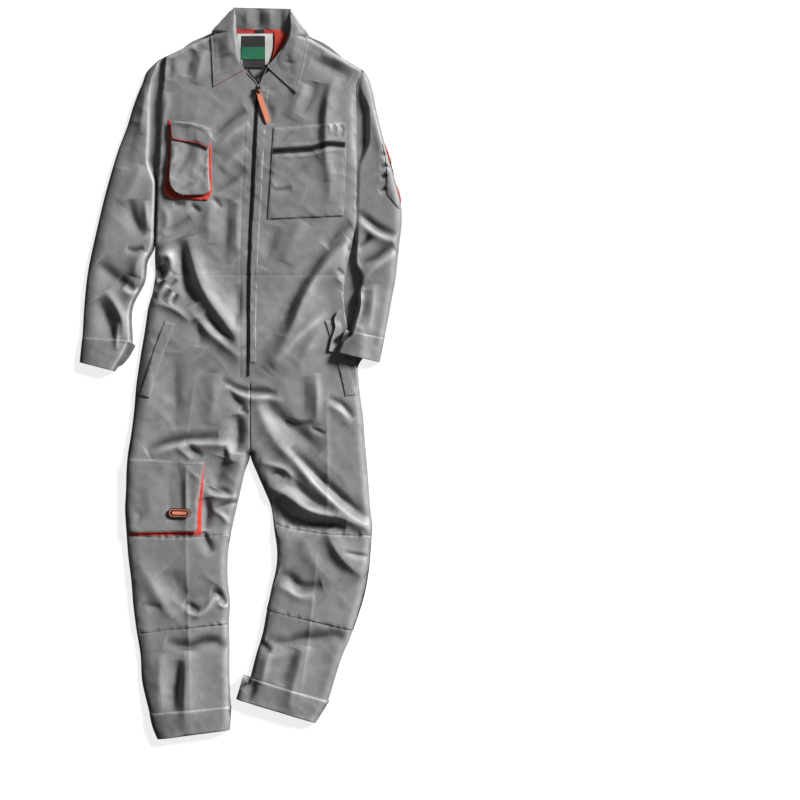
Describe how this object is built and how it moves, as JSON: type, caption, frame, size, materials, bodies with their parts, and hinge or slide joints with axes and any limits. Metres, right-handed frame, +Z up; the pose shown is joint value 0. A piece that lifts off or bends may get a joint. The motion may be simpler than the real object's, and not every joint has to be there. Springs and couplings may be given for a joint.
{
  "type": "boiler suit",
  "caption": "Grey work boiler suit with red pocket edges, laid flat face up, hems turned up, with a front zip whose pull tab swings.",
  "frame": {"origin": "middle of the suit's footprint, on the surface that it lies on", "axes": "+Z up off the surface, +Y towards the collar, +X towards the wearer's left"},
  "size_m": [0.7097, 1.6096, 0.0272],
  "materials": {
    "grey_twill": "matt mid-grey cotton and polyester twill",
    "red_cloth": "orange-red trim cloth",
    "black_tape": "black woven zip tape",
    "label_cloth": "pale woven label cloth",
    "black_metal": "black coated zip slider",
    "orange_rubber": "soft orange rubber",
    "stud_metal": "dull metal press stud"
  },
  "bodies": {
    "suit": {"back_bodice": "grey_twill", "leg_back_right": "grey_twill", "leg_back_left": "grey_twill", "sleeve_under_right": "grey_twill", "sleeve_under_left": "grey_twill", "front_bodice_right": "grey_twill", "front_bodice_left": "grey_twill", "leg_front_right": "grey_twill", "leg_front_left": "grey_twill", "sleeve_top_right": "grey_twill", "sleeve_top_left": "grey_twill", "zip_tape_right": "black_tape", "zip_tape_left": "black_tape", "front_placket": "grey_twill", "chest_gusset_right": "red_cloth", "chest_pocket_right": "grey_twill", "chest_flap_right": "grey_twill", "chest_pocket_left": "grey_twill", "chest_zip_left": "black_tape", "sleeve_pocket_left": "grey_twill", "hip_welt_right": "grey_twill", "hip_welt_left": "grey_twill", "thigh_gusset": "red_cloth", "thigh_pocket": "grey_twill", "knee_panel_right": "grey_twill", "knee_panel_left": "grey_twill", "thigh_badge": "orange_rubber", "cuff_right": "grey_twill", "cuff_left": "grey_twill", "turn_up_right": "grey_twill", "turn_up_left": "grey_twill", "cuff_stud_right": "stud_metal", "collar_stand": "grey_twill", "collar_leaf_right": "grey_twill", "collar_leaf_left": "grey_twill", "neck_tape": "red_cloth", "hanger_loop": "black_tape", "neck_label": "label_cloth", "neck_facing_left": "red_cloth", "zip_slider": "black_metal"},
    "pull_tab": {"zip_pull_tab": "orange_rubber"}
  },
  "joints": [
    {"name": "pull_tab_hinge", "type": "hinge", "parent": "suit", "child": "pull_tab", "pos_m": [0.0385, 0.622, 0.02345], "axis": [-0.9461, -0.324, 0], "range_deg": [0, 150]}
  ]
}
